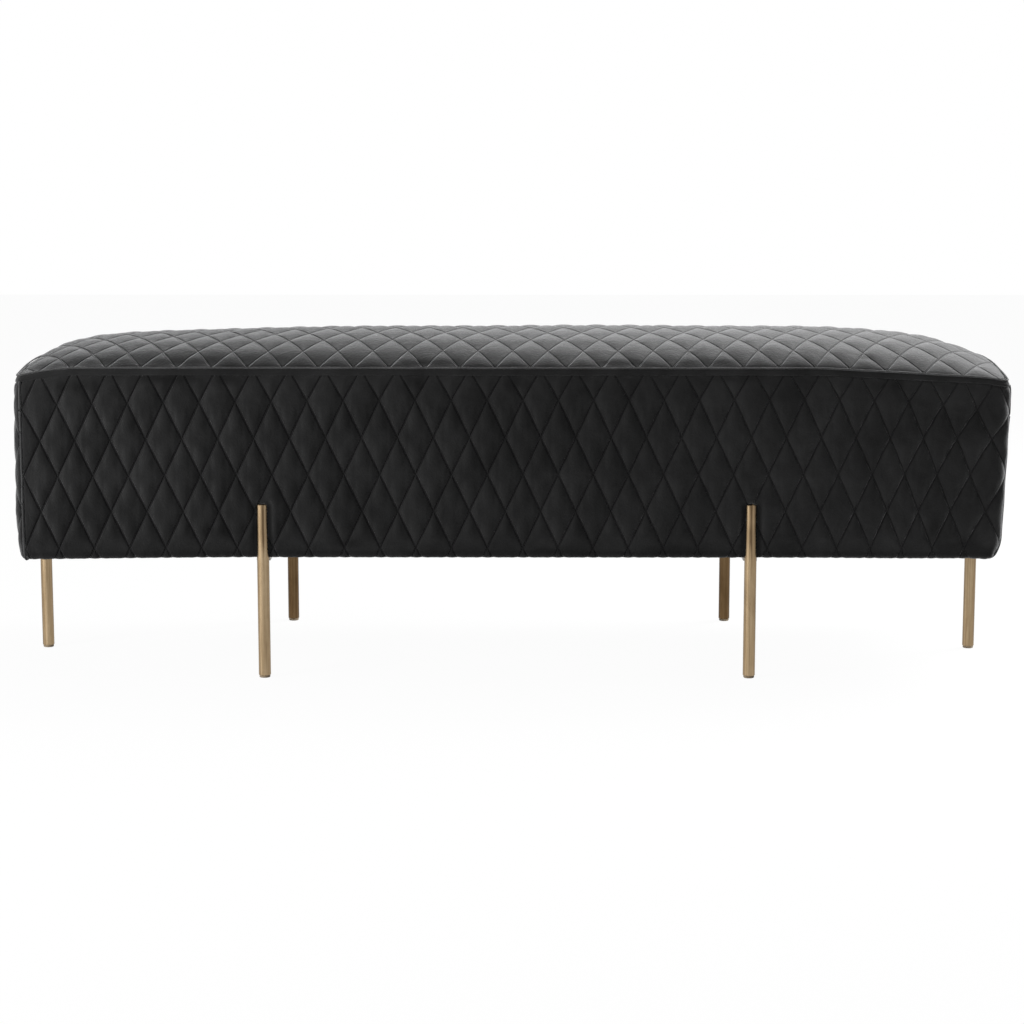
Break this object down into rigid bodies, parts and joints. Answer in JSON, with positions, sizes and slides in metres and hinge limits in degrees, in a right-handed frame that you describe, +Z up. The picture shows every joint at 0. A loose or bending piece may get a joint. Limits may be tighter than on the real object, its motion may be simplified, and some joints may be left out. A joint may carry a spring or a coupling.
{
  "type": "upholstered bench",
  "caption": "Long quilted velvet bench: a block upholstered in diamond stitching with a crowned top, on slim round brass rod legs set against its sides.",
  "frame": {"origin": "on the floor under the middle of the bench", "axes": "+Z up, +X along the bench to the right as seen from the front, +Y from front to rear"},
  "size_m": [1.308, 0.41, 0.4515],
  "materials": {
    "velvet": "charcoal velvet, diamond quilted",
    "rod_metal": "brushed antique brass",
    "bracket_metal": "zinc plated steel",
    "glide": "black nylon",
    "fastener": "zinc plated steel",
    "plywood": "raw plywood",
    "softwood": "raw softwood",
    "foam": "open-cell foam",
    "dust_cloth": "black spun-bonded cloth"
  },
  "bodies": {
    "root": {"leg_front_left": "rod_metal", "foot_front_left": "glide", "bracket_front_left": "bracket_metal", "leg_front_right": "rod_metal", "foot_front_right": "glide", "bracket_front_right": "bracket_metal", "leg_rear_left": "rod_metal", "foot_rear_left": "glide", "bracket_rear_left": "bracket_metal", "leg_rear_right": "rod_metal", "foot_rear_right": "glide", "bracket_rear_right": "bracket_metal", "leg_end_left": "rod_metal", "foot_end_left": "glide", "bracket_end_left": "bracket_metal", "leg_end_right": "rod_metal", "foot_end_right": "glide", "bracket_end_right": "bracket_metal", "leg_bolts": "fastener", "leg_washers": "fastener", "bracket_screws": "fastener", "frame_screws": "fastener", "base_board": "plywood", "deck_board": "plywood", "side_board_front": "plywood", "side_board_rear": "plywood", "end_board_left": "plywood", "end_board_right": "plywood", "corner_block_front_left": "softwood", "corner_block_front_right": "softwood", "corner_block_rear_left": "softwood", "corner_block_rear_right": "softwood", "cross_rail_left": "softwood", "cross_rail_middle": "softwood", "cross_rail_right": "softwood", "side_foam_front": "foam", "side_foam_rear": "foam", "end_foam_left": "foam", "end_foam_right": "foam", "seat_foam": "foam", "cover_front": "velvet", "cover_rear": "velvet", "cover_end_left": "velvet", "cover_end_right": "velvet", "cover_top": "velvet", "cover_band": "velvet", "cover_turned_edge": "velvet", "dust_cover": "dust_cloth", "dust_cover_staples": "fastener"}
  },
  "joints": []
}
